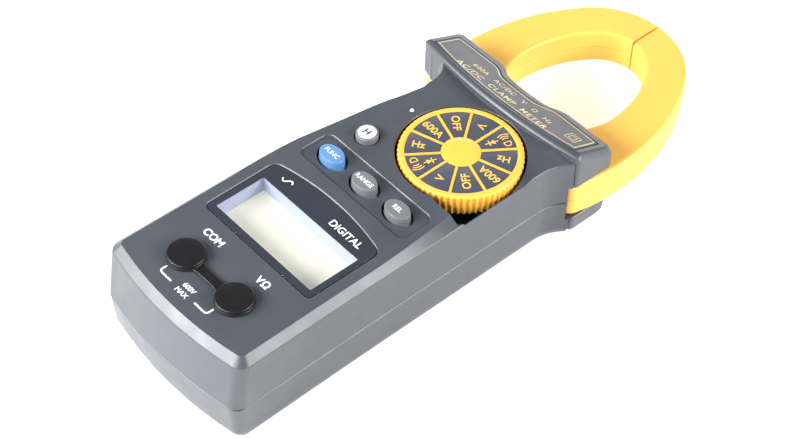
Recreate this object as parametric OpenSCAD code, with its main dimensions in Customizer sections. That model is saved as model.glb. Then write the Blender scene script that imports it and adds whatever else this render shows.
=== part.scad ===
// Pocket clamp meter, lying on its back: +X right, +Y towards the jaws, +Z out of the display.
// Origin: centre of the footprint, on the table.

/* [Case] */
// Height of the display face above the table
face_z = 35; // [34:0.5:37]
// Height of the parting line between the two shells
parting_z = 15.5; // [15:0.5:17]
// Wall thickness of the shells
wall = 2.4; // [2:0.1:2.8]
// Width of the top chamfer
chamfer = 2.7; // [2:0.1:3]

/* [Jaws] */
// Thickness of the jaws
jaw_t = 13.4; // [12:0.2:14]
// Height of the jaws' mid plane
jaw_mid = 15; // [14.6:0.1:15.2]
// Opening angle of the left jaw shown here
jaw_open = 0; // [0:1:28]

/* [Dial] */
// Radius of the dial over its scallops
dial_r = 19.7; // [17:0.1:19.8]
// Height of the dial above the face
dial_rise = 0.7; // [0.4:0.1:3]
// Switch positions round the dial
positions = 10; // [8:2:12]

/* [Buttons] */
// Distance between the three lower buttons
button_pitch = 15; // [14:0.1:15.5]
// Travel of the buttons
button_travel = 0.8; // [0.4:0.1:0.9]

/* [Test sockets] */
// Distance from the centre line to each socket
jack_x = 11.2; // [9.5:0.1:12]
// Radius of the socket bore
jack_r = 2; // [2:0.01:2.05]

/* [Hidden] */
$fn = 96;

// Colours
case_grey = [0.30, 0.32, 0.36];
jaw_orange = [0.98, 0.75, 0.27];
dark_grey = [0.20, 0.22, 0.26];
button_grey = [0.55, 0.56, 0.58];
rubber_black = [0.07, 0.07, 0.08];
steel = [0.72, 0.73, 0.75];
brass = [0.80, 0.64, 0.30];

// The part is drawn with y = 0 at the grip end and moved so that its footprint is centred.
length = 210;

// Case outline
grip_x = 31.2;
neck_x = 30.8;
end_bow = 135;
corner_r = 4.5;
flare_y = 124;
flare_r = 15;
waist_c = [-29.7, 124.4];
waist_r = 8.9;
waist_tilt = 8.9;
guard_x = 35.3;
guard_end = 151.5;
guard_low = 22.1;
rear_guard = 7.9;
label_tilt = 22.8;
label_y = 135.5;
label_z = 36.2;
seam = 0.1;

// Dial
dial_x = 9.6;
dial_y = 109.2;
hub_r = 6.2;
label_r = 17.4;
pocket_r = 20.4;
pocket_z = 28;
shaft_r = 5;
scallops = 64;

// Jaws
jaw_z0 = jaw_mid - jaw_t / 2;
jaw_z1 = jaw_mid + jaw_t / 2;
pivot = [-12, 138.5];
pivot_r = 2;
jaw_end = 133.8;
hole_y = 166;
hole_r = 20;
jaw_gap = 0.2;
core_h = 8;

// Display
lens_x = 24.2;
lens_y0 = 36;
lens_y1 = 63.8;
window = [21.8, 38.8, 57];
lcd_z = 28.8;

// Buttons
row_x = 0.7;
row_y = 77.8;
hold_pos = [-14.3, 91.9];
button_top = 37.1;
band_drop = 0.5;
band_z = face_z - band_drop;
flange_z = face_z - wall - 1.4;

// Circuit board
pcb_z = 22.6;
pcb_t = 1.6;

// Sockets
jack_y = 19.5;
cap_r = 6.1;
cap_h = 2.2;
well_r = 4.6;

// Fasteners: x, y of the case screws and of the right jaw's screws
case_screw_at = [[-24.3, 11.6], [24.3, 11.6], [24.6, 86.5], [-22, 86.8]];
jaw_screw_at = [[6.5, 139.4], [27, 139.8]];
left_screw_at = [[-26.5, 139.8], [-25.8, 156]];

// Battery
battery_at = [-13.2, 44, 2.7];
battery_size = [26.4, 45.5, 16.6];

function arc(c, r, a0, a1, n) =
    [for (i = [0:n]) let (a = a0 + (a1 - a0) * i / n) [c[0] + r * cos(a), c[1] + r * sin(a)]];

function bezier(p, q, s, n) =
    [for (i = [0:n]) let (t = i / n) (1 - t) * (1 - t) * p + 2 * t * (1 - t) * q + t * t * s];

// Grip and neck outline, counter-clockwise: the right chain upwards, then the left chain downwards,
// with as many points each. e: y of the end; a: inset of the sides; w: inset of the waist;
// s: extra inset of the right shoulder; top: y of the closing line.
function grip_outline(e, a, w, s, top) =
    let (rc = corner_r - 0.9 * a, xc = grip_x - a - rc, yc = e + xc * xc / 2 / end_bow + rc,
         r = flare_r + a + s)
    concat(
        [for (i = [0.5:1:7.5]) [xc * i / 8, e + pow(xc * i / 8, 2) / 2 / end_bow]],
        arc([xc, yc], rc, -80, 0, 6),
        [[neck_x - a, 60], [neck_x - a - 0.2 * s, 74], [neck_x - a - 0.6 * s, 89.5],
         [neck_x - a - s, 98]],
        arc([neck_x + flare_r, flare_y], r, 180, 180 - asin((top - 1.2 - flare_y) / r), 7),
        [[33 - a, top], [-33 + a, top]],
        arc(waist_c, waist_r + w, 95, -waist_tilt, 5),
        [[-23.9 + w, 103.8]],
        bezier([-28.4 + w, 75.5], [-30.6 + (a + w) / 2, 61.5], [-30.8 + a, 50], 4),
        arc([-xc, yc], rc, 180, 260, 6),
        [for (i = [7.5:-1:0.5]) [-xc * i / 8, e + pow(xc * i / 8, 2) / 2 / end_bow]]);

// Guard outline, counter-clockwise: the bowed front, then the far side, with as many points each.
// f: inset of the front; a: of the ends; b: of the far side.
function guard_outline(f, a, b) =
    let (x = guard_x - a, far = guard_end - b)
    concat(
        [for (i = [-8:8]) [x * i / 8, 129.9 + f + 4.9 * pow(i / 8, 2)]],
        arc([x - 2, far - 2], 2, 0, 90, 3),
        [[16, far], [13.5, far - 0.7], [10, far - 3], [5, far - 4], [0, far - 4.2], [-5, far - 4],
         [-10, far - 3], [-13.5, far - 0.7], [-16, far]],
        arc([2 - x, far - 2], 2, 90, 180, 3));

function guard_plane(y) = label_z - tan(label_tilt) * (y - label_y);

// Puts a height on each point of an outline: flat, or below the guard's sloping plane
function at_z(pts, z) = [for (p = pts) [p[0], p[1], z]];
function below_plane(pts, drop, far_drop) =
    [for (p = pts) [p[0], p[1], guard_plane(p[1]) - (p[1] > 143 ? far_drop : drop)]];

// Closed skin through rings of two equal chains each; the ends are filled between the chains
module skin(rings) {
    n = len(rings[0]);
    m = len(rings);
    points = [for (r = rings) for (p = r) p];
    sides = [for (k = [0:m - 2]) for (i = [0:n - 1]) for (t = [0:1])
        let (a = k * n + i, b = k * n + (i + 1) % n)
        t == 0 ? [a, b + n, b] : [a, a + n, b + n]];
    ends = [for (i = [0:n / 2 - 2]) for (t = [0:3]) let (j = n - 1 - i, u = (m - 1) * n)
        t == 0 ? [i, i + 1, j] : t == 1 ? [i + 1, j - 1, j]
        : t == 2 ? [u + j, u + i + 1, u + i] : [u + j, u + j - 1, u + i + 1]];
    polyhedron(points, concat(sides, ends), convexity = 8);
}

module place() translate([0, -length / 2, 0]) children();

module prism(pts, z0, z1) translate([0, 0, z0]) linear_extrude(z1 - z0) polygon(pts);

module rod(x, y, z0, z1, r) translate([x, y, z0]) cylinder(h = z1 - z0, r = r);

module box(x0, x1, y0, y1, z0, z1) translate([x0, y0, z0]) cube([x1 - x0, y1 - y0, z1 - z0]);

// Lens-shaped outline with pointed ends along X
module pointed_oval(half_l, half_w) {
    r = (half_l * half_l + half_w * half_w) / 2 / half_w;
    intersection() {
        translate([0, half_w - r]) circle(r);
        translate([0, r - half_w]) circle(r);
    }
}

// Lens outline with an arched upper edge; g: gap taken off all round
module lens_shape(g) {
    r = 3 - g;
    arch = 92;
    intersection() {
        union() {
            translate([-lens_x + g + r, lens_y0 + g]) square([2 * (lens_x - g - r), 40]);
            translate([-lens_x + g, lens_y0 + g + r]) square([2 * (lens_x - g), 40]);
            for (s = [-1, 1]) translate([s * (lens_x - g - r), lens_y0 + g + r]) circle(r);
        }
        translate([0, lens_y1 + 2.8 - arch]) circle(arch - g, $fn = 360);
        union() {
            translate([-lens_x, lens_y0]) square([2 * lens_x, lens_y1 - lens_y0 - 3.4]);
            translate([-lens_x + 3, lens_y0]) square([2 * lens_x - 6, 40]);
            for (s = [-1, 1]) translate([s * (lens_x - g - 3.2), lens_y1 - 3.6]) circle(3.2);
        }
    }
}

// Space swept by the left jaw, its lever and the heel of the right jaw
module jaw_space(z0, z1) {
    prism([[-45, 103.5], [-22, 103.5], [-20, 99], [-4, 99], [-4, 126], [-9, 133.2], [45, 133.2],
           [45, 160], [-45, 160]], z0, z1);
}

// Straight-sided block inside the case, cut off at y1; e and g: insets of the end and the sides
module inner_block(e, g, y1, z0, z1) {
    intersection() {
        prism(grip_outline(e, g, g, 0, 140), z0, z1);
        box(-40, 40, 0, y1, z0 - 1, z1 + 1);
    }
}

module front_case() color(case_grey) place() {
    difference() {
        union() {
            difference() {
                union() {
                    skin([at_z(grip_outline(0, 0, 0, 0, 136), parting_z + seam),
                          at_z(grip_outline(2.1, 0, 0, 0, 136), face_z - chamfer - 0.3),
                          at_z(grip_outline(2.5, 0.3, 0.2, 0.4, 136), face_z - chamfer + 0.2),
                          at_z(grip_outline(4.8, chamfer - 0.3, 0.7, 2.6, 136), face_z - 0.3),
                          at_z(grip_outline(5.2, chamfer + 0.1, 1.1, 3.1, 136), face_z)]);
                    skin([at_z(guard_outline(0, 0, 0), guard_low - 1),
                          below_plane(guard_outline(0, 0, 0), 2.1, 3.4),
                          below_plane(guard_outline(0.2, 0.2, 0.7), 1.7, 1.7),
                          below_plane(guard_outline(1.5, 1.6, 1.9), 0.25, 0.3),
                          below_plane(guard_outline(1.9, 2.1, 2.4), 0, 0)]);
                }
                inner_block(2.1 + wall, wall, 131, parting_z - 1, face_z - wall);
                inner_block(1.3, 1.2, 129, parting_z - 1, parting_z + 1.3);
                jaw_space(0, guard_low);
                box(-29, 31, 137, 145, guard_low - 1, 29);
            }
            // Thickened floors and sockets inside
            intersection() {
                rod(dial_x, dial_y, pocket_z - 1.4, face_z - wall + 0.1, pocket_r + 2);
                prism(grip_outline(3, 0.9, 0.9, 0.5, 136), 0, 50);
            }
            box(-lens_x, lens_x, lens_y0, 66, face_z - 3.4, face_z - 1.9);
            for (x = [-jack_x, jack_x]) rod(x, jack_y, pcb_z + pcb_t + 0.4, face_z - 1, well_r + 1.5);
            for (p = case_screw_at) rod(p[0], p[1], parting_z + 0.2, face_z - 1, 3.2);
            for (p = jaw_screw_at) rod(p[0], p[1], guard_low, 30, 3.2);
            rod(pivot[0], pivot[1], guard_low, 30, 5);
            for (a = [25, 205]) translate([dial_x, dial_y, 0]) rotate(a) rod(17, 0, 24.6, pocket_z - 1, 2.2);
        }
        // Display
        translate([0, 0, face_z - 1.8]) linear_extrude(3) lens_shape(0);
        box(-22.5, 22.5, 38.1, 57.7, face_z - 5, face_z);
        // Button band and button holes
        translate([row_x, row_y + 0.2, band_z]) linear_extrude(2) union() {
            square([45, 12.6], center = true);
            square([47.6, 9], center = true);
            for (x = [-22.3, 22.3], y = [-4.8, 4.8]) translate([x, y]) circle(1.5);
        }
        for (i = [-1:1]) translate([row_x + i * button_pitch, row_y, 20]) linear_extrude(20)
            pointed_oval(6.1, 4);
        rod(hold_pos[0], hold_pos[1], 25, 40, 3.95);
        // Dial pocket, thumb hollow, shaft hole and detent holes
        rod(dial_x, dial_y, pocket_z, 50, pocket_r);
        box(20, neck_x - 1.1, 90, 104, pocket_z, 50);
        rod(dial_x, dial_y, 20, 50, shaft_r);
        for (a = [25, 205]) translate([dial_x, dial_y, 0]) rotate(a) rod(17, 0, 25, 40, 1.1);
        // Socket wells
        for (x = [-jack_x, jack_x]) rod(x, jack_y, 10, 50, well_r);
        // Screw holes and pivot seat
        for (p = case_screw_at) rod(p[0], p[1], 0, 22, 1.45);
        for (p = jaw_screw_at) rod(p[0], p[1], 0, 28, 1.45);
        rod(pivot[0], pivot[1], 0, 27, pivot_r);
        // Shallow bed for the guard's label
        label_frame() translate([0, 0, -0.35]) linear_extrude(3) label_shape(0.35);
    }
}

// Turns its children into the guard's sloping plane
module label_frame() translate([0, label_y, label_z]) rotate([-label_tilt, 0, 0]) children();

module label_shape(grow) {
    x = 31.6 + grow;
    y0 = -3.2 - grow;
    y1 = 12.4 + grow;
    polygon(concat(
        [for (i = [-8:8]) [x * i / 8, y0 + 4.1 * pow(i / 8, 2)]],
        [[x, y1], [15, y1], [12.5, y1 - 0.7], [9.5, y1 - 2.9], [5, y1 - 3.8], [0, y1 - 4], [-5, y1 - 3.8],
         [-9.5, y1 - 2.9], [-12.5, y1 - 0.7], [-15, y1], [-x, y1]]));
}

module guard_label() color(dark_grey) place()
    label_frame() translate([0, 0, -0.33]) linear_extrude(0.4) label_shape(0);

module rear_case() color(case_grey) place() {
    difference() {
        union() {
            difference() {
                union() {
                    skin([at_z(grip_outline(3.6, 2.9, 2.9, 0, 136), 0),
                          at_z(grip_outline(2.3, 1.5, 1.5, 0, 136), 0.6),
                          at_z(grip_outline(1.3, 0.5, 0.5, 0, 136), 2.4),
                          at_z(grip_outline(1, 0.3, 0.3, 0, 136), 4),
                          at_z(grip_outline(0, 0, 0, 0, 136), parting_z - seam)]);
                    skin([at_z(guard_outline(2, 2.6, 2.6), 0.03),
                          at_z(guard_outline(0.6, 1, 1), 0.8),
                          at_z(guard_outline(0.2, 0.5, 0.5), 3),
                          at_z(guard_outline(0, 0.3, 0.3), rear_guard + 1)]);
                    // Tongue that fits inside the front shell
                    inner_block(1.6, 1.5, 128.6, 6, parting_z + 1);
                }
                inner_block(0.4 + wall, wall, 131, wall, 40);
                jaw_space(rear_guard, 40);
            }
            // Screw posts, battery bay walls and pivot post
            for (p = case_screw_at) rod(p[0], p[1], 1, parting_z - 0.2, 4);
            difference() {
                box(-15.4, 15.4, 41.6, 96.4, 1, parting_z - 1);
                box(-14, 14, 43, 95, 0, 40);
            }
            intersection() {
                rod(pivot[0], pivot[1], 1, rear_guard, 10);
                box(-30, 10, 120, 140, 0, rear_guard);
            }
        }
        // Battery door opening and its ledge
        box(-14, 14, 43, 95, -1, 3);
        box(-16, 16, 38, 95.6, -1, 1.7);
        rod(0, 40.5, 0, 9, 1.3);
        // Screws
        for (p = case_screw_at) rod(p[0], p[1], -1, 20, 1.6);
        for (p = case_screw_at) rod(p[0], p[1], -1, 3.6, 3);
        for (p = jaw_screw_at) rod(p[0], p[1], -1, 20, 1.6);
        for (p = jaw_screw_at) rod(p[0], p[1], -1, 3.6, 3);
        // Pivot seat and spring recess
        rod(pivot[0], pivot[1], 2, 20, pivot_r);
        rod(pivot[0], pivot[1], 3.4, 20, 4.6);
        rod(pivot[0], pivot[1], 6.2, 20, 8.8);
    }
    // Nut post for the battery door's screw
    difference() {
        translate([0, -0.6, 0]) rod(0, 40.5, 1.8, 9, 3.4);
        rod(0, 40.5, 0, 8, 1.3);
        box(-5, 5, 42.6, 50, 0, 20);
    }
}

module display_lens() color([0.75, 0.82, 0.88, 0.4]) place()
    translate([0, 0, face_z - 1.5]) linear_extrude(1.5) lens_shape(0.12);

module lens_mask() color(dark_grey) place()
    translate([0, 0, face_z - 1.78]) linear_extrude(0.25) difference() {
        lens_shape(0.3);
        translate([-window[0], window[1]]) square([2 * window[0], window[2] - window[1]]);
    }

module lcd_holder() color([0.62, 0.66, 0.74]) place() difference() {
    union() {
        box(-25, 25, 35.4, 60.4, pcb_z + pcb_t, face_z - 3.5);
        box(-22.4, 22.4, 38.2, 57.6, 30, face_z - 1.85);
    }
    box(-window[0], window[0], window[1], window[2], 0, 50);
    box(-23.8, 23.8, 36.4, 59.4, 0, lcd_z + 0.1);
}

module lcd_panel() color([0.86, 0.87, 0.80]) place() box(-23.6, 23.6, 36.6, 59.2, lcd_z - 2.2, lcd_z);

module zebra_strips() color([0.85, 0.45, 0.55]) place() for (y = [36.8, 57])
    box(-22, 22, y, y + 2, pcb_z + pcb_t, lcd_z - 2.2);

module main_pcb() color([0.10, 0.36, 0.22]) place() difference() {
    prism(concat([[-26.5, 9], [26.5, 9], [26.5, 129], [-14, 129], [-15.8, 121]],
          [[-19.5, 103], [-23.2, 78], [-26.5, 56]]), pcb_z, pcb_z + pcb_t);
    for (p = case_screw_at) rod(p[0], p[1], 0, 50, 3.5);
    for (x = [-jack_x, jack_x]) rod(x, jack_y, 0, 50, 2.85);
    for (x = [-23, 23]) rod(x, 66, 0, 50, 1.1);
    rod(dial_x, dial_y, 0, 50, 3);
}

module pcb_parts() color([0.09, 0.09, 0.10]) place() {
    box(15.8, 24, 44, 58, pcb_z - 2.3, pcb_z);
    box(16, 22, 64, 72, pcb_z - 1.8, pcb_z);
    box(-24, -16, 46, 56, pcb_z - 2, pcb_z);
    for (i = [0:4]) box(-22 + 4 * i, -20 + 4 * i, 28, 32, pcb_z - 1.4, pcb_z);
    rod(18, 34, pcb_z - 8, pcb_z, 3);
}

module pcb_screws() color(steel) place() for (x = [-23, 23]) {
    rod(x, 66, 20, pcb_z + pcb_t, 1);
    rod(x, 66, pcb_z + pcb_t, pcb_z + pcb_t + 1.2, 2);
}

module tact_switches() color([0.12, 0.12, 0.13]) place() for (p = button_centres()) difference() {
    box(p[0] - 3, p[0] + 3, p[1] - 3, p[1] + 3, pcb_z + pcb_t, 28.2);
    rod(p[0], p[1], 26.8, 30, 1.6);
}

function button_centres() = concat([for (i = [-1:1]) [row_x + i * button_pitch, row_y]], [hold_pos]);

module buzzer() color([0.14, 0.14, 0.15]) place() difference() {
    rod(14, 108, pcb_z - 5.2, pcb_z, 8);
    rod(14, 108, pcb_z - 6, pcb_z - 4.4, 1);
}

// Button with a crowned top, a flange under the case wall and a stem
module oval_button(i) place() translate([row_x + i * button_pitch, row_y, 0]) {
    crown = 60;
    intersection() {
        translate([0, 0, flange_z]) linear_extrude(20) pointed_oval(5.8, 3.7);
        translate([0, 0, button_top - crown]) sphere(crown, $fn = 180);
    }
    translate([0, 0, flange_z]) linear_extrude(1.2) square([13, 9.2], center = true);
    rod(0, 0, 28.3, flange_z + 0.5, 1.2);
}

module func_button() color([0.35, 0.55, 0.80]) oval_button(-1);
module range_button() color(button_grey) oval_button(0);
module rel_button() color(button_grey) oval_button(1);

module hold_button() color([0.90, 0.90, 0.90]) place() translate([hold_pos[0], hold_pos[1], 0]) {
    crown = 20;
    intersection() {
        rod(0, 0, flange_z, 50, 3.6);
        translate([0, 0, button_top - crown]) sphere(crown, $fn = 120);
    }
    rod(0, 0, flange_z, flange_z + 1.2, 5.2);
    rod(0, 0, 28.3, flange_z + 0.5, 1.2);
}

// Grip edge of the dial: four points to a scallop
function scalloped(r) = [for (i = [0:4 * scallops - 1]) let (a = i * 90 / scallops)
    (r - 0.6 * abs(sin(scallops * a / 2))) * [cos(a), sin(a)]];

module dial_knob() color(jaw_orange) place() translate([dial_x, dial_y, 0]) difference() {
    top = face_z + dial_rise;
    union() {
        prism(scalloped(dial_r), pocket_z + 0.4, top - 0.8);
        rod(0, 0, pocket_z + 2, top, dial_r - 1);
        rod(0, 0, 25.2, pocket_z + 1, shaft_r - 0.05);
    }
    difference() {
        rod(0, 0, top - 0.6, top + 1, label_r);
        rod(0, 0, top - 2, top + 2, hub_r);
    }
    // Detent dimples and the screw hole for the rotor
    for (i = [0:positions - 1]) rotate(25 + i * 360 / positions) rod(17, 0, 20, pocket_z + 0.9, 1.4);
    rod(0, 0, 20, 33, 1.2);
}

// Dark sector plate: one slot between each pair of switch positions lets the knob show through
module dial_label() color(dark_grey) place() translate([dial_x, dial_y, 0]) difference() {
    top = face_z + dial_rise;
    rod(0, 0, top - 0.55, top - 0.1, label_r - 0.05);
    rod(0, 0, 0, 50, hub_r + 0.05);
    for (i = [0:positions - 1]) rotate((i + 0.5) * 360 / positions)
        box(hub_r + 1.2, label_r - 0.8, -0.35, 0.35, top - 0.3, 50);
}

module dial_rotor() color([0.88, 0.88, 0.86]) place() translate([dial_x, dial_y, 0]) difference() {
    rod(0, 0, 25.5, 26.3, 14);
    rod(0, 0, 20, 30, 5.05);
    for (a = [0:90:270]) rotate(a) rod(9.5, 0, 20, 30, 1.2);
}

module dial_wipers() color(brass) place() translate([dial_x, dial_y, 0]) for (a = [0, 180]) rotate(a)
    for (r = [7.5, 11.2]) box(-2.5, 2.5, r - 0.8, r + 0.8, pcb_z + pcb_t + 0.15, 25.5);

module dial_retainer() color(steel) place() translate([dial_x, dial_y, 0]) {
    difference() {
        rod(0, 0, 24.4, 25.2, 6.2);
        rod(0, 0, 20, 30, 1.1);
    }
    rod(0, 0, 24.4, 31, 1.1);
}

module detent_balls() color(steel) place() translate([dial_x, dial_y, 0]) for (a = [25, 205]) rotate(a)
    translate([17, 0, pocket_z - 0.7]) sphere(1);

// Coil of round wire; the ends are cut square
module coil(r, wire, turns, z0, z1, sides) {
    steps = 12 * turns;
    rings = [for (k = [0:steps]) let (a = 360 * k / 12, z = z0 + (z1 - z0) * k / steps)
        [for (j = [0:sides - 1]) let (b = 360 * j / sides, q = r + wire * cos(b))
            [q * cos(a), q * sin(a), z - wire * sin(b)]]];
    skin(rings);
}

module detent_springs() color(steel) place() translate([dial_x, dial_y, 0]) for (a = [25, 205]) rotate(a)
    translate([17, 0, 0]) coil(0.7, 0.18, 2, 25.25, 26.05, 6);

module jack(x) place() difference() {
    union() {
        rod(x, jack_y, 10, 30.5, 2.8);
        rod(x, jack_y, pcb_z - 1, pcb_z, 4.2);
    }
    rod(x, jack_y, 12, 50, jack_r);
}

module com_jack() color(brass) jack(-jack_x);
module volt_jack() color(brass) jack(jack_x);

module terminal_cover() color(rubber_black) place() {
    for (x = [-jack_x, jack_x]) {
        rod(x, jack_y, face_z + 0.05, face_z + cap_h - 0.4, cap_r);
        rod(x, jack_y, face_z + 1, face_z + cap_h, cap_r - 0.5);
        rod(x, jack_y, 31, face_z + 1, well_r - 0.15);
    }
    box(-jack_x, jack_x, jack_y - 2.1, jack_y + 2.1, face_z + 0.05, face_z + 1.1);
}

// Outer outline of both jaws, grown by g
module jaw_outer(g) {
    intersection() {
        translate([-38.2, 155]) circle(75 + g, $fn = 240);
        translate([38.2, 155]) circle(75 + g, $fn = 240);
        translate([-60, 100]) square([120, 97.6]);
    }
    translate([0, 181.4]) circle(28.6 + g, $fn = 160);
}

// Opening between the jaws, grown by g
module jaw_hole(g) {
    translate([0, hole_y]) circle(hole_r + g, $fn = 120);
    translate([0, 182.5]) circle(14.5 + g, $fn = 120);
    intersection() {
        translate([-21.9, hole_y]) circle(41.9 + g, $fn = 160);
        translate([21.9, hole_y]) circle(41.9 + g, $fn = 160);
        translate([-30, hole_y]) square([60, 25.2]);
    }
}

// Right jaw in plan, with a round heel; t: thickness taken off all round
module jaw_half(t) {
    heel = 4.4;
    x0 = jaw_gap + t;
    intersection() {
        difference() {
            jaw_outer(-t);
            jaw_hole(t);
        }
        union() {
            translate([x0, jaw_end + heel]) square([60, 100]);
            translate([x0, jaw_end + t]) square([30.4 - x0, 20]);
            translate([30.4, jaw_end + heel]) circle(heel - t);
        }
    }
}

// Hub and lever of the left jaw, mirrored with it; t as above
module jaw_lever(t) {
    polygon([[13, 134 + t], [25, 131 + t], [26.4 + t, 126], [26.2 + t, 121], [30.8 - t, 121],
             [32 - t, 128], [34.4 - t, 136], [30, 140], [13, 140]]);
}

module left_jaw_plan(t) {
    difference() {
        mirror([1, 0]) {
            jaw_half(t);
            jaw_lever(t);
        }
        // Clearance of the base to the right jaw as it turns
        difference() {
            translate([pivot[0], pivot[1] - 12]) square([20, 12]);
            translate([pivot[0], pivot[1]]) circle(11.4 - t);
        }
    }
}

module turned() translate([pivot[0], pivot[1], 0]) rotate(jaw_open)
    translate([-pivot[0], -pivot[1], 0]) children();

// One half of a jaw shell: walls all round and a floor
module jaw_shell(z0, z1, floor_up) {
    floor_z = floor_up ? z1 - 2.4 : z0 + 2.4;
    difference() {
        translate([0, 0, z0]) linear_extrude(z1 - z0) children(0);
        translate([0, 0, floor_up ? z0 - 1 : floor_z]) linear_extrude(floor_up ? floor_z - z0 + 1 : 20)
            children(1);
    }
}

// Channel of the core inside a jaw half; open: reaches through the meeting faces
module core_channel(t, open) {
    intersection() {
        difference() {
            jaw_outer(-t);
            jaw_hole(t);
        }
        translate([open, jaw_end + 2.4]) square([60, 100]);
        union() {
            translate([0, 142]) square([60, 100]);
            translate([0, jaw_end + 2.4]) square([9.5, 9]);
        }
    }
}

module right_screw_posts() for (p = jaw_screw_at) translate(p) circle(3.4);

module right_channel() difference() {
    union() {
        core_channel(2.6, 1);
        intersection() {
            jaw_half(2.4);
            translate([9, 120]) square([20, 20]);
        }
    }
    right_screw_posts();
}

module right_jaw_shell(z0, z1, up) difference() {
    jaw_shell(z0, z1, up) {
        jaw_half(0);
        right_channel();
    }
    for (p = jaw_screw_at) rod(p[0], p[1], 0, 50, 1.6);
}

module right_jaw_top() color(jaw_orange) place() right_jaw_shell(jaw_mid + 0.04, jaw_z1, true);
module right_jaw_bottom() color(jaw_orange) place() right_jaw_shell(jaw_z0, jaw_mid - 0.04, false);

module left_channel() difference() {
    mirror([1, 0]) core_channel(2.6, -1);
    translate(pivot) circle(5.2);
    for (p = left_screw_at) translate(p) circle(2.4);
}

module left_jaw_shell(z0, z1, up) difference() {
    jaw_shell(z0, z1, up) {
        left_jaw_plan(0);
        left_channel();
    }
    rod(pivot[0], pivot[1], 0, 50, pivot_r + 0.05);
    for (p = left_screw_at) rod(p[0], p[1], 0, jaw_z1 - 1.6, 1.1);
    for (p = left_screw_at) rod(p[0], p[1], 0, jaw_z0 + 1.4, 2.1);
}

module left_jaw_top() color(jaw_orange) place() turned() left_jaw_shell(jaw_mid + 0.04, jaw_z1, true);

module left_jaw_bottom() color(jaw_orange) place() turned() difference() {
    left_jaw_shell(jaw_z0, jaw_mid - 0.04, false);
    // Hole that takes the spring's upper leg
    rod(pivot[0] - 7.4, pivot[1], 0, jaw_z0 + 1.6, 0.6);
}

// Magnetic core of one jaw; x0: distance of its faces from the centre line
module core_plan(x0) intersection() {
    core_channel(3, x0);
    union() {
        translate([0, 142]) square([60, 100]);
        translate([0, jaw_end + 2.8]) square([5, 9]);
    }
}

module left_core() color([0.35, 0.35, 0.37]) place() turned()
    translate([0, 0, jaw_mid - core_h / 2]) linear_extrude(core_h) difference() {
        mirror([1, 0]) core_plan(0.25);
        translate(pivot) circle(5.6);
        for (p = left_screw_at) translate(p) circle(2.8);
    }

module right_core() color([0.35, 0.35, 0.37]) place()
    translate([0, 0, jaw_mid - core_h / 2]) linear_extrude(core_h) difference() {
        core_plan(2.6);
        for (p = jaw_screw_at) translate(p) circle(3.8);
    }

module hall_sensors() color([0.08, 0.08, 0.09]) place() for (y = [203.4, 139.5])
    box(1.1, 2.4, y - 2, y + 2, jaw_mid - 1.6, jaw_mid + 1.6);

module left_jaw_screws() color(steel) place() turned() for (p = left_screw_at) {
    rod(p[0], p[1], jaw_z0 + 0.3, jaw_z0 + 1.35, 1.9);
    rod(p[0], p[1], jaw_z0 + 1.3, jaw_z1 - 1.8, 1.05);
}

module right_jaw_screws() color(steel) place() for (p = jaw_screw_at) {
    rod(p[0], p[1], 1.5, 3.55, 2.8);
    rod(p[0], p[1], 3.5, 27.5, 1.4);
}

// Thumb lever: ribbed pad screwed over the jaw's arm
module trigger_plan(t) {
    polygon(concat(
        [[-30.9 + t, 120.9]],
        bezier([-33.9 + t, 132], [-32.4 + t, 122], [-30.6 + t, 111], 6),
        arc([-28.5, 109.8], 2.3 - t, 190, 350, 6),
        [[-26.2 - t, 116], [-26.2 - t, 120.9]]));
}

module jaw_trigger() color(jaw_orange) place() turned() difference() {
    union() {
        translate([0, 0, jaw_mid - 6]) linear_extrude(12) trigger_plan(0);
        for (y = [110.5:2.2:117.5]) rod(-30.4 - (y - 110.5) * 0.14, y, jaw_mid - 5, jaw_mid + 5, 0.7);
    }
    translate([0, 0, -1]) mirror([1, 0, 0]) linear_extrude(60) jaw_lever(-0.02);
}

module jaw_pivot() color(steel) place() {
    rod(pivot[0], pivot[1], 2.1, 26.8, pivot_r - 0.01);
}

// Torsion spring round the pivot: one leg in the rear shell, the other in the left jaw
module jaw_spring() color(steel) place() translate([pivot[0], pivot[1], 0]) {
    coil(3.4, 0.4, 3, 3.95, 7.2, 8);
    rod(-7.4, 0, 6.9, 9.6, 0.45);
    box(-7.5, -3.3, -0.3, 0.3, 6.95, 7.5);
    box(3.2, 4.3, -0.3, 0.35, 3.6, 4.2);
}

module battery() color([0.18, 0.20, 0.24]) place() {
    b = battery_at;
    s = battery_size;
    box(b[0], b[0] + s[0], b[1], b[1] + s[1], b[2], b[2] + s[2]);
    for (x = [-6.4, 6.4]) translate([x, b[1] + s[1], b[2] + s[2] / 2]) rotate([-90, 0, 0])
        cylinder(h = 2.4, r = x < 0 ? 2.8 : 3.8);
}

module battery_snap() color([0.10, 0.10, 0.10]) place() {
    b = battery_at;
    s = battery_size;
    y = b[1] + s[1];
    difference() {
        box(-12, 12, y + 0.4, y + 4.4, b[2] + 2, b[2] + 14);
        for (x = [-6.4, 6.4]) translate([x, y - 1, b[2] + s[2] / 2]) rotate([-90, 0, 0])
            cylinder(h = 3.6, r = x < 0 ? 2.9 : 3.9);
    }
}

module battery_door() color(case_grey) place() difference() {
    union() {
        box(-15.8, 15.8, 38.2, 95.4, 0.1, 1.6);
        box(-13.8, 13.8, 43.2, 94.8, 1, 2.5);
        for (y = [84:2.4:92]) box(-8, 8, y, y + 1, 0.1, 0.5);
    }
    rod(0, 40.5, -1, 5, 1.5);
    rod(0, 40.5, -1, 0.8, 2.6);
    box(-9.5, 9.5, 82.5, 93.5, -1, 0.45);
}

module door_screw() color(steel) place() {
    rod(0, 40.5, 0.15, 0.8, 2.4);
    rod(0, 40.5, 0.7, 7.6, 1.2);
}

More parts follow.
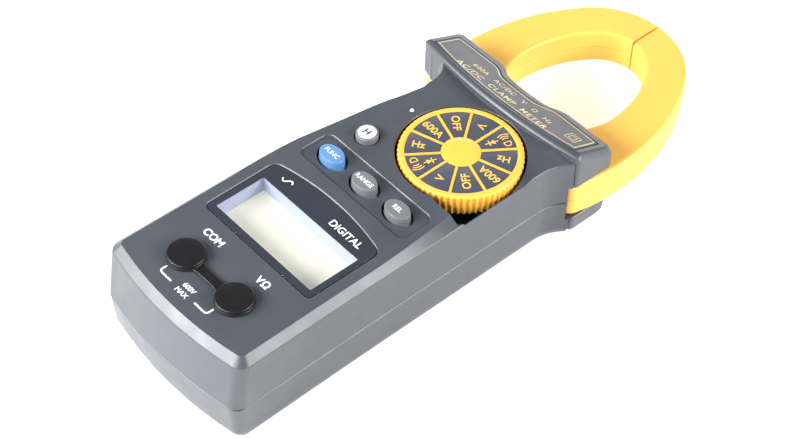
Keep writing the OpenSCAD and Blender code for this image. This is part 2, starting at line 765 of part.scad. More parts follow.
module case_screws() color(steel) place() for (p = case_screw_at) {
    rod(p[0], p[1], 1.6, 3.55, 2.8);
    rod(p[0], p[1], 3.5, 21.5, 1.4);
}

front_case();
rear_case();
guard_label();
display_lens();
lens_mask();
lcd_holder();
lcd_panel();
zebra_strips();
main_pcb();
pcb_parts();
pcb_screws();
tact_switches();
buzzer();
func_button();
range_button();
rel_button();
hold_button();
dial_knob();
dial_label();
dial_rotor();
dial_wipers();
dial_retainer();
detent_balls();
detent_springs();
com_jack();
volt_jack();
terminal_cover();
left_jaw_top();
left_jaw_bottom();
left_core();
left_jaw_screws();
jaw_trigger();
right_jaw_top();
right_jaw_bottom();
right_core();
right_jaw_screws();
hall_sensors();
jaw_pivot();
jaw_spring();
battery();
battery_snap();
battery_door();
door_screw();
case_screws();
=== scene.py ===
"""Looks for the clamp meter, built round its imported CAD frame.

Sizes are millimetres measured from the grip end (y = 0) until make_piece() puts them in the frame.
"""

import math

import bmesh
import bpy
from mathutils import Matrix, Vector


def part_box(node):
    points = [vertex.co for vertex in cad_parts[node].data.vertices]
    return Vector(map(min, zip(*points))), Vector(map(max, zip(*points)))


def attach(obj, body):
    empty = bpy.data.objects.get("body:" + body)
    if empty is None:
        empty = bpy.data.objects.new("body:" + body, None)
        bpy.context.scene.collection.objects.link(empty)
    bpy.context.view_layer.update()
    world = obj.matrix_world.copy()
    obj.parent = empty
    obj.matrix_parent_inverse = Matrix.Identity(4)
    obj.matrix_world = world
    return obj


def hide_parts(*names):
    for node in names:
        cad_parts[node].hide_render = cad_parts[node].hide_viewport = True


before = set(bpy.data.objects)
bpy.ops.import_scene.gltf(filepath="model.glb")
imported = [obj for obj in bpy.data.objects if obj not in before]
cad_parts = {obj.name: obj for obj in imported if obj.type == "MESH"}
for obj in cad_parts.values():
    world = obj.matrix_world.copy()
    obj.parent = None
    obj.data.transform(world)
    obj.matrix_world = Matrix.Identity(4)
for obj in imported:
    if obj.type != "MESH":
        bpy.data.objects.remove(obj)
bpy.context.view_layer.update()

MM = 0.001
LENGTH = 210.0

# Heights
FACE_Z = 35.0
PARTING_Z = 15.5
SEAM = 0.1
WALL = 2.4

# Case outline
GRIP_X = 31.2
NECK_X = 30.8
END_BOW = 135.0
CORNER_R = 4.5
CAVITY_TOP = 130
LIP_TOP = 131
FLARE_Y = 124.0
FLARE_R = 15.0
WAIST = (-29.7, 124.4)
WAIST_R = 8.9
WAIST_TILT = 8.9
GUARD_X = 35.3
GUARD_END = 151.5
GUARD_LOW = 22.1
REAR_GUARD = 7.9
LABEL_TILT = 22.8
LABEL_Y = 135.5
LABEL_Z = 36.2
SLOPE_TURN = Matrix.Rotation(math.radians(-LABEL_TILT), 3, "X")

# Jaws
JAW_Z0 = 8.3
JAW_MID = 15.0
JAW_Z1 = 21.7
JAW_GAP = 0.2
JAW_END = 133.8
PIVOT = (-12.0, 138.5)
BASE_R = 11.4
HEEL_R = 4.4
SPRING_LEG = 7.4

# Face details
LENS_TOP = FACE_Z - 0.03
LENS_X = 24.2
LENS_Y0 = 36.0
LENS_Y1 = 63.8
WINDOW = (21.8, 38.8, 57.0)
ROW_X = 0.7
ROW_Y = 77.8
BUTTON_PITCH = 15.0
HOLD = (-14.3, 91.9)
BUTTON_TOP = 37.1
JACK_X = 11.2
JACK_Y = 19.5
SOCKET_WELL_R = 4.6
KEY_LOW = 31.2
STEM_R = 1.2
STEM_LOW = 28.3
LENS_ARCH_R = 92

# Printing stands this far off its surface
INK_LIFT = 0.012
LABEL_INK_Z = 0.075


def node_centre(name):
    """Centre of a CAD node's box in drawing millimetres."""
    low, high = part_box(name)
    mid = (Vector(low) + Vector(high)) / 2 / MM
    return mid.x, mid.y + LENGTH / 2, mid.z


DIAL_X, DIAL_Y, _ = node_centre("dial_knob")
DIAL_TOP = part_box("dial_knob")[1][2] / MM
DIAL_R = (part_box("dial_knob")[1][0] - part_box("dial_knob")[0][0]) / MM / 2
DIAL_HUB_R = 6.2
DIAL_LABEL_R = 17.4
DIAL_POCKET_R = 20.4
DIAL_POCKET_Z = 28.0
DIAL_POSITIONS = 10
DIAL_STEP = 36
SCALLOPS = 64

FLOOR_HALF = 3.0


# ---- Outlines ----


def arc(cx, cy, r, a0, a1, n):
    """n + 1 points on a circular arc, angles in degrees."""
    steps = [math.radians(a0 + (a1 - a0) * i / n) for i in range(n + 1)]
    return [(cx + r * math.cos(a), cy + r * math.sin(a)) for a in steps]


def bezier(p, q, s, n):
    """n + 1 points on a quadratic Bezier curve."""
    return [
        tuple((1 - t) ** 2 * a + 2 * t * (1 - t) * b + t * t * c for a, b, c in zip(p, q, s))
        for t in (i / n for i in range(n + 1))
    ]


def smooth_line(points, n):
    """Catmull-Rom curve through the points, n steps to a span."""
    ext = [points[0], *points, points[-1]]
    out = [points[0]]
    for k in range(1, len(ext) - 2):
        p0, p1, p2, p3 = (Vector(q) for q in ext[k - 1 : k + 3])
        for i in range(1, n + 1):
            t = i / n
            out.append(tuple(
                0.5 * ((2 * p1) + (p2 - p0) * t + (2 * p0 - 5 * p1 + 4 * p2 - p3) * t * t
                       + (3 * p1 - p0 - 3 * p2 + p3) * t ** 3)))
    return out


def on_slope(point):
    """Point in the guard label's own plane, put on the guard's sloping top."""
    return SLOPE_TURN @ Vector(point) + Vector((0, LABEL_Y, LABEL_Z))


def inset(points, t):
    """Counter-clockwise outline moved inwards by t, with mitred corners."""
    out = []
    n = len(points)
    for i in range(n):
        a, b, c = (Vector(points[(i + k) % n][:2]) for k in (-1, 0, 1))
        d0 = (b - a).normalized()
        d1 = (c - b).normalized()
        n0 = Vector((-d0.y, d0.x))
        n1 = Vector((-d1.y, d1.x))
        m = n0 + n1
        scale = t / max(0.35, m.length_squared / 2)
        out.append(tuple(b + m * scale))
    return out


def mirrored(points):
    """Mirror across x = 0, keeping the points counter-clockwise."""
    return [(-p[0], *p[1:]) for p in reversed(points)]


def grip_outline(e, a, w, s, top=135.4):
    """Grip and neck, counter-clockwise. e: y of the end; a: inset of the sides; w: of the waist;
    s: extra inset of the right shoulder; top: y of the closing line inside the guard."""
    rc = CORNER_R - 0.9 * a
    xc = GRIP_X - a - rc
    yc = e + xc * xc / 2 / END_BOW + rc
    r = FLARE_R + a + s
    steps = [xc * (i + 0.5) / 16 for i in range(16)]
    end = [(x, e + x * x / 2 / END_BOW) for x in steps]
    side = [(GRIP_X - a, yc), (NECK_X - a + 0.1, 40), (NECK_X - a, 60), (NECK_X - a - 0.2 * s, 74),
            (NECK_X - a - 0.6 * s, 89.5), (NECK_X - a - s, 98), (NECK_X - a - s, FLARE_Y)]
    lean = 95 if top > 133 else math.degrees(math.asin((top - WAIST[1]) / (WAIST_R + w)))
    waist = [(-19.9 + w, 122.9), (-21.9 + w, 112.5), (-23.9 + w, 103.8), (-26.1 + w, 89.7),
             (-28.4 + w, 75.5)]
    grip = bezier((-28.4 + w, 75.5), (-30.6 + (a + w) / 2, 61.5), (-30.8 + a, 50), 14)
    flare = 180 - math.degrees(math.asin((top - 1.2 - FLARE_Y) / r))
    return (
        end
        + arc(xc, yc, rc, -80, 0, 12)
        + smooth_line(side, 5)[1:]
        + arc(NECK_X + FLARE_R, FLARE_Y, r, 180, flare, 14)
        + ([(33 - a, top), (-33 + a, top)] if top > 133 else [(10, top)])
        + arc(*WAIST, WAIST_R + w, lean, -WAIST_TILT, 20)
        + smooth_line(waist, 3)[1:]
        + grip[1:]
        + arc(-xc, yc, rc, 180, 260, 12)
        + [(-x, y) for x, y in reversed(end)]
    )


def guard_outline(f, a, b):
    """Guard, counter-clockwise. f: inset of the bowed front; a: of the ends; b: of the far side."""
    x = GUARD_X - a
    far = GUARD_END - b
    rc = 2.6 - 0.5 * a
    bend = 1.5
    wide = x - bend * 0.55
    front = [(wide * i / 24, 129.9 + f + 4.9 * (wide * i / 24 / x) ** 2) for i in range(-24, 25)]
    corner = bezier(front[-1], (x, 134.8 + f), (x, 134.8 + f + bend), 6)[1:]
    front = mirrored(corner) + front + corner
    dip = [(17, far), (15, far - 0.15), (13, far - 0.9), (10, far - 2.8), (7, far - 3.8)]
    dip += [(0, far - 4.2)] + mirrored(dip)
    return (
        front
        + arc(x - rc, far - rc, rc, 0, 90, 8)
        + smooth_line(dip, 5)
        + arc(rc - x, far - rc, rc, 90, 180, 8)
    )


def lens_outline(g):
    """Display lens, counter-clockwise; g: inset. The upper edge is a shallow arch."""
    x = LENS_X - g
    arch_r = LENS_ARCH_R - g
    arch_y = LENS_Y1 + 2.8 - LENS_ARCH_R
    r = 3.0
    shoulder = arch_y + math.sqrt((arch_r - r) ** 2 - (x - r) ** 2)
    lean = math.degrees(math.atan2(x - r, shoulder - arch_y))
    return (
        arc(x - 2, LENS_Y0 + g + 2, 2, -90, 0, 6)
        + arc(x - r, shoulder, r, 0, 90 - lean, 8)
        + arc(0, arch_y, arch_r, 90 - lean, 90 + lean, 30)[1:-1]
        + arc(r - x, shoulder, r, 90 + lean, 180, 8)
        + arc(2 - x, LENS_Y0 + g + 2, 2, 180, 270, 6)
    )


def pointed_oval(cx, cy, half_l, half_w, n=16):
    """Lens-shaped outline with pointed ends along X."""
    r = (half_l ** 2 + half_w ** 2) / 2 / half_w
    half = math.degrees(math.asin(half_l / r))
    low = arc(cx, cy + r - half_w, r, 270 - half, 270 + half, n)
    high = arc(cx, cy - r + half_w, r, 90 - half, 90 + half, n)
    return low + high[1:-1]


def rounded_box(x0, x1, y0, y1, r, n=6):
    """Rectangle with round corners, counter-clockwise."""
    return (arc(x1 - r, y0 + r, r, -90, 0, n) + arc(x1 - r, y1 - r, r, 0, 90, n)
            + arc(x0 + r, y1 - r, r, 90, 180, n) + arc(x0 + r, y0 + r, r, 180, 270, n))


def right_jaw_outline(t, seam):
    """Right jaw in plan, counter-clockwise. t: inset of the free edges; seam: inset of the meeting face."""
    x0 = JAW_GAP + seam
    tip_r = 28.6 - t
    side_r = 75 - t
    hole_r = 20 + t
    hole_side = 41.9 + t
    hole_tip = 14.5 + t
    join = math.degrees(math.asin(42.6 / 75))
    return (
        [(x0, JAW_END + t)]
        + arc(30.4, JAW_END + HEEL_R, HEEL_R - t, -90, -10, 12)
        + arc(-38.2, 155, side_r, -12.5, join, 40)
        + arc(0, 181.4, tip_r, 34.5, math.degrees(math.acos(x0 / tip_r)), 30)[1:]
        + arc(0, 182.5, hole_tip, math.degrees(math.acos(x0 / hole_tip)), 36.9, 16)
        + arc(-21.9, 166, hole_side, 37, 0, 16)[1:]
        + arc(0, 166, hole_r, 0, -math.degrees(math.acos(x0 / hole_r)), 30)[1:]
    )


def left_jaw_outline(t, seam):
    """Left jaw in plan: the right one mirrored, its lower corner rounded about the pivot."""
    right = right_jaw_outline(t, seam)[1:]
    r = BASE_R - t
    low = JAW_END + t - PIVOT[1]
    start = math.degrees(math.asin(low / r))
    relief = [(-x, y) for x, y in arc(PIVOT[0], PIVOT[1], r, start, 0, 8)]
    face = [(JAW_GAP + seam, PIVOT[1] + 0.2)]
    return mirrored(face[::-1] + relief[::-1] + right)


# ---- Meshes ----


def rounded_profile(points, radii, n=5):
    """Rounds the inner corners of a polyline in any number of dimensions."""
    out = [tuple(points[0])]
    for i in range(1, len(points) - 1):
        a, b, c = (points[i + k] for k in (-1, 0, 1))
        r = radii[i - 1]
        if r <= 0:
            out.append(tuple(b))
            continue
        la = math.dist(a, b)
        lc = math.dist(b, c)
        p = [q + (s - q) * min(r / la, 0.48) for s, q in zip(a, b)]
        s = [q + (s - q) * min(r / lc, 0.48) for s, q in zip(c, b)]
        out += bezier(p, b, s, n)
    out.append(tuple(points[-1]))
    return out


def at_z(points, z):
    return [(x, y, z) for x, y in points]


def skin(rings, cap_low=True, cap_high=True):
    """Closed skin through rings with the same number of points: vertices and faces."""
    n = len(rings[0])
    verts = [p for ring in rings for p in ring]
    faces = []
    for k in range(len(rings) - 1):
        for i in range(n):
            a = k * n + i
            b = k * n + (i + 1) % n
            faces.append((a, b, b + n, a + n))
    if cap_low:
        faces.append(tuple(reversed(range(n))))
    if cap_high:
        faces.append(tuple(range(len(verts) - n, len(verts))))
    return verts, faces


def prism(points, z0, z1):
    return skin([at_z(points, z0), at_z(points, z1)])


def quarter_round(n):
    """Pairs that run from (1, 0) to (0, 1) along a quarter circle."""
    angles = [math.pi / 2 * i / n for i in range(n + 1)]
    return [(1 - math.sin(a), 1 - math.cos(a)) for a in angles]


def soft_prism(outline, z0, z1, low, high, n=4):
    """Prism of outline(t) whose lower and upper edges are rounded by the radii low and high."""
    start = quarter_round(n) if low > 0 else [(0, 0)]
    end = quarter_round(n) if high > 0 else [(0, 0)]
    rings = [at_z(outline(low * s), z0 + low * c) for s, c in start]
    rings += [at_z(outline(high * c), z1 - high * s) for s, c in end]
    return skin(rings)


def lathe(profile, cx, cy, n=96):
    """Turned solid: profile is a list of (radius, z) from the bottom to the top."""
    verts, faces = [], []
    for r, z in profile:
        verts += [(cx + r * math.cos(2 * math.pi * i / n), cy + r * math.sin(2 * math.pi * i / n), z)
                  for i in range(n)]
    for k in range(len(profile) - 1):
        for i in range(n):
            j = (i + 1) % n
            faces.append((k * n + i, k * n + j, (k + 1) * n + j, (k + 1) * n + i))
    faces.append(tuple(reversed(range(n))))
    faces.append(tuple(range(len(verts) - n, len(verts))))
    return verts, faces


def box_mesh(x0, x1, y0, y1, z0, z1):
    return prism([(x0, y0), (x1, y0), (x1, y1), (x0, y1)], z0, z1)


def ribbon(points, width, z, closed=False):
    """Flat printed line of the given width along a path."""
    verts, faces = [], []
    n = len(points)
    for i in range(n):
        a = Vector(points[(i - 1) % n] if closed or i > 0 else points[i])
        b = Vector(points[i])
        c = Vector(points[(i + 1) % n] if closed or i < n - 1 else points[i])
        d0 = (b - a).normalized() if (b - a).length > 0 else (c - b).normalized()
        d1 = (c - b).normalized() if (c - b).length > 0 else d0
        m = Vector((-d0.y - d1.y, d0.x + d1.x))
        m *= width / max(0.7, m.length_squared)
        verts += [(b.x + m.x, b.y + m.y, z), (b.x - m.x, b.y - m.y, z)]
    for i in range(n if closed else n - 1):
        j = (i + 1) % n
        faces.append((2 * i + 1, 2 * j + 1, 2 * j, 2 * i))
    return verts, faces


def joined(*meshes):
    """Several (vertices, faces) lists as one."""
    verts, faces = [], []
    for v, f in meshes:
        base = len(verts)
        verts += v
        faces += [tuple(i + base for i in face) for face in f]
    return verts, faces


def make_piece(name, mesh, material, body, replaces=(), tilt=False, angle=32):
    """Object from millimetre vertices, in the frame's metres, riding on a body."""
    data = bpy.data.meshes.new(name)
    verts = [Vector(v) for v in mesh[0]]
    if tilt:
        verts = [on_slope(v) for v in verts]
    data.from_pydata([(v.x * MM, (v.y - LENGTH / 2) * MM, v.z * MM) for v in verts], [], mesh[1])
    data.validate()
    bm = bmesh.new()
    bm.from_mesh(data)
    bmesh.ops.remove_doubles(bm, verts=bm.verts, dist=0.002 * MM)
    bmesh.ops.recalc_face_normals(bm, faces=bm.faces)
    bm.to_mesh(data)
    bm.free()
    piece = bpy.data.objects.new(name, data)
    bpy.context.collection.objects.link(piece)
    piece.data.materials.append(material)
    if body:
        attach(piece, body)
    if replaces:
        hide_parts(*replaces)
    shade(piece, angle)
    return piece


def shade(piece, angle=32):
    """Smooth shading that stays sharp at edges steeper than the angle."""
    piece.data.shade_smooth()
    piece.data.set_sharp_from_angle(angle=math.radians(angle))


def apply_modifiers(piece):
    """Bakes a piece's modifiers into its mesh."""
    depsgraph = bpy.context.evaluated_depsgraph_get()
    data = bpy.data.meshes.new_from_object(piece.evaluated_get(depsgraph))
    piece.modifiers.clear()
    old = piece.data
    piece.data = data
    bpy.data.meshes.remove(old)


def carve(piece, cutters, operation="DIFFERENCE", angle=32):
    """Boolean of a piece with a list of (vertices, faces) cutters."""
    made = []
    for mesh in cutters:
        cutter = make_piece("cutter", mesh, piece.data.materials[0], None)
        made.append(cutter)
        mod = piece.modifiers.new("cut", "BOOLEAN")
        mod.operation = operation
        mod.solver = "EXACT"
        mod.object = cutter
    apply_modifiers(piece)
    for cutter in made:
        data = cutter.data
        bpy.data.objects.remove(cutter)
        bpy.data.meshes.remove(data)
    shade(piece, angle)


def settle_normals(piece):
    """Large flat faces keep even shading next to small rounded ones."""
    mod = piece.modifiers.new("normals", "WEIGHTED_NORMAL")
    mod.keep_sharp = True
    mod.weight = 60


# ---- Materials ----


def new_material(name, colour, roughness, metallic=0.0, specular=0.5):
    mat = bpy.data.materials.new(name)
    mat.use_nodes = True
    shader = mat.node_tree.nodes["Principled BSDF"]
    shader.inputs["Base Color"].default_value = (*colour, 1)
    shader.inputs["Roughness"].default_value = roughness
    shader.inputs["Metallic"].default_value = metallic
    shader.inputs["Specular IOR Level"].default_value = specular
    mat.diffuse_color = (*colour, 1)
    return mat, mat.node_tree, shader


def noise(tree, scale, detail=3.0, rough=0.5):
    """Noise in object space, scale in features per metre."""
    coords = tree.nodes.new("ShaderNodeTexCoord")
    tex = tree.nodes.new("ShaderNodeTexNoise")
    tex.inputs["Scale"].default_value = scale
    tex.inputs["Detail"].default_value = detail
    tex.inputs["Roughness"].default_value = rough
    tree.links.new(coords.outputs["Object"], tex.inputs["Vector"])
    return tex


def remap(tree, source, low, high, start=0.3, end=0.7):
    """Maps start..end of a value to low..high; the defaults are a noise's usual range."""
    node = tree.nodes.new("ShaderNodeMapRange")
    limits = {"From Min": start, "From Max": end, "To Min": low, "To Max": high}
    for socket, value in limits.items():
        node.inputs[socket].default_value = value
    tree.links.new(source, node.inputs["Value"])
    return node.outputs["Result"]


def vary_colour(tree, shader, dark, light, source):
    """Base colour between two tones, by a noise."""
    mix = tree.nodes.new("ShaderNodeMix")
    mix.data_type = "RGBA"
    mix.inputs["A"].default_value = (*dark, 1)
    mix.inputs["B"].default_value = (*light, 1)
    tree.links.new(remap(tree, source, 0, 1), mix.inputs["Factor"])
    tree.links.new(mix.outputs["Result"], shader.inputs["Base Color"])


def add_bump(tree, shader, height, strength, depth, normal=None):
    """Bump from a height, with its depth in millimetres, over another normal if one is given."""
    bump = tree.nodes.new("ShaderNodeBump")
    bump.inputs["Strength"].default_value = strength
    bump.inputs["Distance"].default_value = depth * MM
    tree.links.new(height, bump.inputs["Height"])
    if normal is not None:
        tree.links.new(normal, bump.inputs["Normal"])
    tree.links.new(bump.outputs["Normal"], shader.inputs["Normal"])


def soft_edges(tree, shader, radius, height, strength):
    """Rounds edges by a small radius in the shading, with a fine bump on top."""
    bevel = tree.nodes.new("ShaderNodeBevel")
    bevel.samples = 6
    bevel.inputs["Radius"].default_value = radius * MM
    add_bump(tree, shader, height, strength, 0.05, bevel.outputs["Normal"])


def moulded(name, colour, roughness, grain=0.12, edge=0.25, spread=0.05, specular=0.5, grain_scale=2600):
    """Injection-moulded plastic: fine spark-eroded grain, slight tone and gloss variation."""
    mat, tree, shader = new_material(name, colour, roughness, specular=specular)
    broad = noise(tree, 45, 2)
    vary_colour(tree, shader, [c * (1 - spread) for c in colour], [c * (1 + spread) for c in colour],
                broad.outputs["Fac"])
    gloss = remap(tree, noise(tree, 160, 4).outputs["Fac"], roughness - 0.04, roughness + 0.05)
    tree.links.new(gloss, shader.inputs["Roughness"])
    soft_edges(tree, shader, edge, noise(tree, grain_scale, 2, 0.6).outputs["Fac"], grain)
    return mat


def metal(name, colour, roughness):
    """Plated or machined metal with fine turning marks."""
    mat, tree, shader = new_material(name, colour, roughness, metallic=1.0)
    tex = noise(tree, 900, 3)
    vary_colour(tree, shader, [c * 0.88 for c in colour], colour, noise(tree, 120, 3).outputs["Fac"])
    gloss = remap(tree, tex.outputs["Fac"], roughness - 0.06, roughness + 0.1)
    tree.links.new(gloss, shader.inputs["Roughness"])
    soft_edges(tree, shader, 0.08, tex.outputs["Fac"], 0.08)
    return mat


def ink(name, colour, roughness=0.45):
    """Screen-printed ink with a slightly uneven film."""
    mat, tree, shader = new_material(name, colour, roughness)
    tex = noise(tree, 1500, 3)
    vary_colour(tree, shader, [c * 0.9 for c in colour], colour, tex.outputs["Fac"])
    add_bump(tree, shader, tex.outputs["Fac"], 0.05, 0.02)
    return mat


CASE = moulded("case_plastic", (0.056, 0.065, 0.078), 0.36, grain=0.08, edge=0.28, specular=0.6)
JAW = moulded("jaw_plastic", (0.93, 0.50, 0.085), 0.42, grain=0.04, edge=0.25, spread=0.03)
KNOB = moulded("knob_plastic", (0.93, 0.48, 0.065), 0.38, grain=0.04, edge=0.18, spread=0.03)
OVERLAY = moulded("guard_print", (0.060, 0.060, 0.080), 0.42, grain=0.05, edge=0.12)
DIAL_PRINT = moulded("dial_print", (0.060, 0.065, 0.090), 0.42, grain=0.05, edge=0.10)
BEZEL = moulded("bezel_print", (0.028, 0.034, 0.046), 0.30, grain=0.0, edge=0.05)
FUNC_KEY = moulded("func_rubber", (0.10, 0.23, 0.48), 0.38, grain=0.05, edge=0.3)
GREY_KEY = moulded("button_rubber", (0.15, 0.155, 0.165), 0.40, grain=0.05, edge=0.3)
HOLD_CAP = moulded("hold_cap", (0.70, 0.71, 0.73), 0.40, grain=0.03, edge=0.2)
RUBBER = moulded("cap_rubber", (0.009, 0.009, 0.010), 0.34, grain=0.08, edge=0.3, specular=0.35)
HOLDER = moulded("holder_plastic", (0.42, 0.47, 0.62), 0.45, grain=0.04, edge=0.15)
LCD = moulded("lcd_glass", (0.80, 0.79, 0.66), 0.25, grain=0.0, edge=0.05, spread=0.02)
BOARD = moulded("circuit_board", (0.02, 0.16, 0.07), 0.35, grain=0.05, edge=0.1)
BLACK = moulded("black_parts", (0.02, 0.02, 0.022), 0.45, grain=0.08, edge=0.15)
PINK = moulded("pink_rubber", (0.70, 0.32, 0.40), 0.55, grain=0.1, edge=0.1)
CORE = moulded("core_iron", (0.10, 0.10, 0.105), 0.45, grain=0.2, edge=0.1)
CELL = moulded("battery_wrap", (0.05, 0.055, 0.07), 0.35, grain=0.02, edge=0.4)
STEEL = metal("screw_steel", (0.58, 0.58, 0.60), 0.32)
BRASS = metal("contact_brass", (0.83, 0.62, 0.28), 0.28)
WHITE_INK = ink("white_ink", (0.86, 0.87, 0.88))
YELLOW_INK = ink("yellow_ink", (0.86, 0.72, 0.28))
DIAL_INK = ink("dial_ink", (0.93, 0.52, 0.08))
GREY_INK = ink("key_ink", (0.72, 0.76, 0.82))
BLACK_INK = ink("black_ink", (0.03, 0.03, 0.035))

# Painted light: the LCD panel glows faintly cream, so it reads brighter than the lamps alone light it through
# the lens.
LCD_GLOW_SHADER = LCD.node_tree.nodes["Principled BSDF"]
LCD_GLOW_SHADER.inputs["Emission Color"].default_value = (0.90, 0.90, 0.74, 1)
LCD_GLOW_SHADER.inputs["Emission Strength"].default_value = 0.30


def clear_material():
    """Acrylic lens: thin and clear, with a faint surface ripple in its reflections."""
    mat, tree, shader = new_material("clear_lens", (0.06, 0.065, 0.08), 0.06)
    shader.inputs["Alpha"].default_value = 0.09
    add_bump(tree, shader, noise(tree, 90, 2).outputs["Fac"], 0.02, 0.05)
    return mat


CLEAR = clear_material()


# ---- Lettering: generic functions and units only ----


def text_mesh(words, size, spacing=1.0, thicken=0.0):
    """Filled outlines of the words, centred on the origin, as (vertices, faces) in millimetres."""
    curve = bpy.data.curves.new("words", "FONT")
    curve.body = words
    curve.size = size
    curve.space_character = spacing
    curve.align_x = "CENTER"
    curve.align_y = "CENTER"
    curve.offset = thicken
    curve.resolution_u = 6
    holder = bpy.data.objects.new("words", curve)
    bpy.context.collection.objects.link(holder)
    depsgraph = bpy.context.evaluated_depsgraph_get()
    data = bpy.data.meshes.new_from_object(holder.evaluated_get(depsgraph))
    verts = [tuple(v.co) for v in data.vertices]
    faces = [tuple(p.vertices) for p in data.polygons]
    bpy.data.objects.remove(holder)
    bpy.data.curves.remove(curve)
    bpy.data.meshes.remove(data)
    xs = [v[0] for v in verts]
    ys = [v[1] for v in verts]
    mx = (min(xs) + max(xs)) / 2
    my = (min(ys) + max(ys)) / 2
    return [(x - mx, y - my, z) for x, y, z in verts], faces


def placed(mesh, x, y, z, turn=0.0, stretch=(1.0, 1.0)):
    """Moves a flat mesh to a spot on the face, turned by degrees about Z."""
    c, s = math.cos(math.radians(turn)), math.sin(math.radians(turn))
    verts = []
    for px, py, pz in mesh[0]:
        px, py = px * stretch[0], py * stretch[1]
        verts.append((x + c * px - s * py, y + s * px + c * py, z + pz))
    return verts, mesh[1]


# ---- Case ----


def case_skin(profile, radii):
    """Skin of the grip and neck through a rounded profile of (z, end, side, waist, shoulder)."""
    rings = [at_z(grip_outline(*p[1:]), p[0]) for p in rounded_profile(profile, radii)]
    return skin(rings)


def guard_top(y):
    return LABEL_Z - math.tan(math.radians(LABEL_TILT)) * (y - LABEL_Y)


def guard_skin():
    """Front guard: vertical walls, a soft bevel in front and at the ends, a round far edge."""
    base = guard_outline(0, 0, 0)
    rings = [at_z(guard_outline(0.25, 0.25, 0.25), GUARD_LOW), at_z(base, GUARD_LOW + 0.25)]
    steps = 8
    for k in range(steps + 1):
        u = k / steps
        round_in = 1 - math.cos(u * math.pi / 2)
        round_drop = 1 - math.sin(u * math.pi / 2)
        bevel = 0.6 * u + 0.4 * round_in
        drop = 0.6 * (1 - u) + 0.4 * round_drop
        ring = []
        for x, y in guard_outline(1.8 * bevel, 2.0 * bevel, 2.4 * round_in):
            far = min(1, max(0, (y - 141) / 8))
            fall = (1 - far) * 1.9 * drop + far * 3.2 * round_drop
            ring.append((x, y, guard_top(y) - fall))
        rings.append(ring)
    return skin(rings)


def tilted_cutter(outline, depth):
    """Prism that cuts a bed of the given depth into the guard's sloping top."""
    verts, faces = prism(outline, -depth, 3)
    return [tuple(on_slope(v)) for v in verts], faces


def label_outline(grow):
    """Guard label in its own plane, counter-clockwise."""
    x = 31.6 + grow
    y0 = -3.2 - grow
    y1 = 12.4 + grow
    front = [(x * i / 24, y0 + 4.1 * (i / 24) ** 2) for i in range(-24, 25)]
    dip = [(16, y1), (14, y1 - 0.15), (12, y1 - 0.9), (9.5, y1 - 2.6), (6.5, y1 - 3.7)]
    dip += [(0, y1 - 4.0)] + mirrored(dip)
    r = 0.6
    return (front + arc(x - r, y1 - r, r, 0, 90, 3) + smooth_line(dip, 4)
            + arc(r - x, y1 - r, r, 90, 180, 3))


def jaw_space(z0, z1):
    """Room for the jaws, the lever and its swing."""
    outline = [(-45, 103.5), (-22, 103.5), (-20, 99), (-4, 99), (-4, 126), (-9, 133.2), (45, 133.2),
               (45, 160), (-45, 160)]
    return prism(outline, z0, z1)


def flared_cut(outline, z_low, z_face, lip):
    """Cutter with a small chamfer where it meets the face."""
    rings = [at_z(outline, z_low), at_z(outline, z_face - lip), at_z(inset(outline, -lip), z_face),
             at_z(inset(outline, -lip), z_face + 8)]
    return skin(rings)


def cylinder_cut(x, y, r, z0, z1, n=64, lip=0.0, z_face=None):
    outline = arc(x, y, r, 0, 360 - 360 / n, n - 1)
    return flared_cut(outline, z0, z_face, lip) if lip else prism(outline, z0, z1)


def shoulder_cut():
    """Wedge that lets the face slope down to the side wall beside the dial."""
    section = [(24.6, FACE_Z + 0.1), (NECK_X - 0.55, 31.9), (NECK_X + 0.4, 31.2), (48, 31.2),
               (48, 45), (24.6, 45)]
    return skin([[(x, y, z + rise * (x > 25)) for x, z in section]
                 for y, rise in ((131, 4.2), (117, 0.2), (91.5, 0))])


